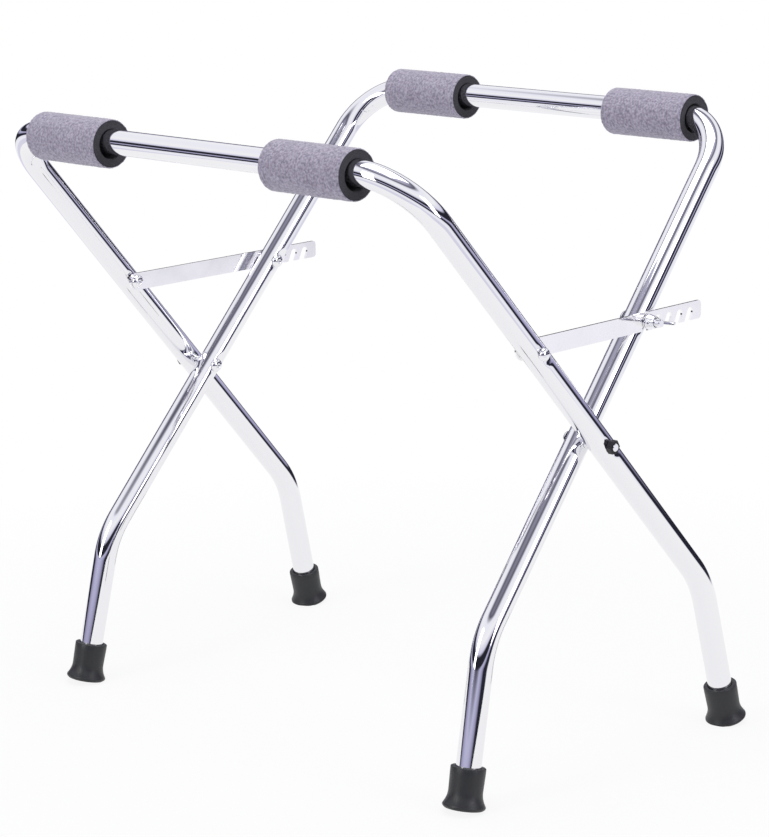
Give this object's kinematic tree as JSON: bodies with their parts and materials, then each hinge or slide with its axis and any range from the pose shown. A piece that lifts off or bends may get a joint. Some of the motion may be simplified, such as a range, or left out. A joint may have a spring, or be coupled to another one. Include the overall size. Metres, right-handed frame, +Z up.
{
  "type": "concert bass drum stand",
  "caption": "Folding cradle of two bent chrome tubes crossed at a pivot, with sleeved top rails, rubber feet, and notched locking straps held by wing nuts",
  "frame": {"origin": "on the floor, under the crossing of the two frames", "axes": "+Z up, +X along the rails towards the right-hand legs, +Y towards the outer frame's feet and the inner frame's rail"},
  "size_m": [0.6824, 0.558, 0.6483],
  "materials": {
    "chrome": "bright plated steel",
    "strap_steel": "plated flat steel, slightly brushed",
    "black_steel": "blackened steel",
    "foam": "closed-cell foam, dark grey",
    "fleece": "nubby fleece, pale lavender grey",
    "tip_rubber": "smooth black rubber"
  },
  "bodies": {
    "outer": {"outer_frame": "chrome", "outer_tip_left": "tip_rubber", "outer_tip_right": "tip_rubber", "outer_foam_left": "foam", "outer_foam_right": "foam", "outer_cover_left": "fleece", "outer_cover_right": "fleece", "strap_screw_left": "chrome", "strap_screw_right": "chrome", "strap_cap_nut_left": "chrome", "strap_cap_nut_right": "chrome", "strap_spacer_left": "chrome", "strap_spacer_right": "chrome", "pivot_bolt_left": "chrome", "pivot_bolt_right": "chrome", "pivot_spacer_left": "chrome", "pivot_spacer_right": "chrome", "pivot_nut_left": "black_steel", "pivot_nut_right": "black_steel"},
    "inner": {"inner_frame": "chrome", "inner_tip_left": "tip_rubber", "inner_tip_right": "tip_rubber", "inner_foam_left": "foam", "inner_foam_right": "foam", "inner_cover_left": "fleece", "inner_cover_right": "fleece", "lock_bolt_left": "chrome", "lock_bolt_right": "chrome", "lock_spacer_left": "chrome", "lock_spacer_right": "chrome"},
    "strap_left": {"strap_left": "strap_steel"},
    "strap_right": {"strap_right": "strap_steel"},
    "washer_left": {"lock_washer_left": "chrome"},
    "washer_right": {"lock_washer_right": "chrome"},
    "wing_left": {"wing_nut_left": "chrome"},
    "wing_right": {"wing_nut_right": "chrome"}
  },
  "joints": [
    {"name": "fold", "type": "hinge", "parent": "outer", "child": "inner", "pos_m": [0, 0, 0.33332], "axis": [1, 0, 0], "range_deg": [0, 52]},
    {"name": "strap_swing_left", "type": "hinge", "parent": "outer", "child": "strap_left", "pos_m": [-0.28642, -0.0931, 0.44042], "axis": [1, 0, 0], "range_deg": [0, 91]},
    {"name": "strap_swing_right", "type": "hinge", "parent": "outer", "child": "strap_right", "pos_m": [0.28642, -0.0931, 0.44042], "axis": [1, 0, 0], "range_deg": [0, 91]},
    {"name": "washer_slide_left", "type": "slide", "parent": "inner", "child": "washer_left", "axis": [-1, 0, 0], "range_m": [0, 0.004]},
    {"name": "washer_slide_right", "type": "slide", "parent": "inner", "child": "washer_right", "axis": [1, 0, 0], "range_m": [0, 0.004]},
    {"name": "wing_spin_left", "type": "hinge", "parent": "washer_left", "child": "wing_left", "pos_m": [-0.29, 0.0931, 0.44042], "axis": [-1, 0, 0], "range_deg": [0, 1080]},
    {"name": "wing_spin_right", "type": "hinge", "parent": "washer_right", "child": "wing_right", "pos_m": [0.29, 0.0931, 0.44042], "axis": [1, 0, 0], "range_deg": [0, 1080]}
  ],
  "couplings": [
    {"joint": "strap_swing_left", "follows": "fold", "ratio": 1.7335},
    {"joint": "strap_swing_right", "follows": "fold", "ratio": 1.7335},
    {"joint": "washer_slide_left", "follows": "wing_spin_left", "m_per_rad": 0.00019894},
    {"joint": "washer_slide_right", "follows": "wing_spin_right", "m_per_rad": 0.00019894}
  ]
}
